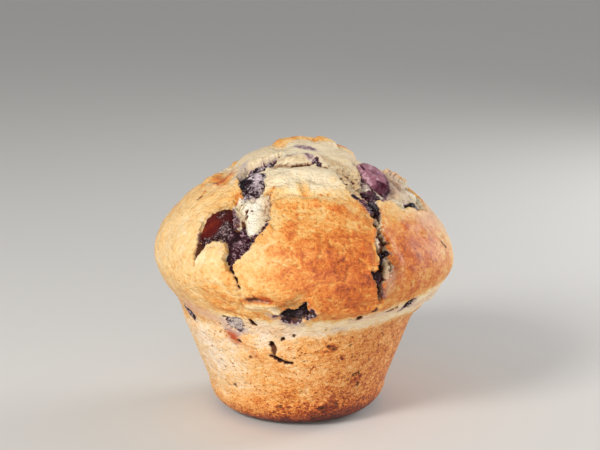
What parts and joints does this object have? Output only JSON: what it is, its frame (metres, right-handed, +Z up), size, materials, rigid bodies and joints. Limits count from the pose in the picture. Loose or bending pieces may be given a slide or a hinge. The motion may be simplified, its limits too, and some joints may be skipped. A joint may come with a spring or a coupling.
{
  "type": "blueberry muffin",
  "caption": "Domed muffin with a cup-baked base, an overhanging burst golden cap and whole berries showing in its cracks and torn crust.",
  "frame": {"origin": "centre of the bounding box in X and Y, at the bottom of the base that it stands on", "axes": "+Z up through the dome, -Y the front with the wide golden plate between the two open places, +X to the right"},
  "size_m": [0.0904, 0.0904, 0.083],
  "materials": {
    "crust": "dry baked crust, golden to orange-brown, with pale torn crumb",
    "berry": "baked berry skin, dark purple to wine red, wet in places"
  },
  "bodies": {
    "root": {"muffin_body": "crust", "berry_top_left": "berry", "berry_left_skin": "berry", "berry_left_crushed": "berry", "berry_top_front": "berry", "berry_right_burst": "berry", "berry_right_dark": "berry", "berry_right_edge": "berry", "berry_crack_low": "berry", "berry_front_rim": "berry", "berry_neck_left": "berry", "berry_neck_side": "berry", "berry_back_tear": "berry", "berry_back_crack": "berry", "berry_back_left": "berry", "berry_back_rim": "berry", "berry_side_skin": "berry"}
  },
  "joints": []
}
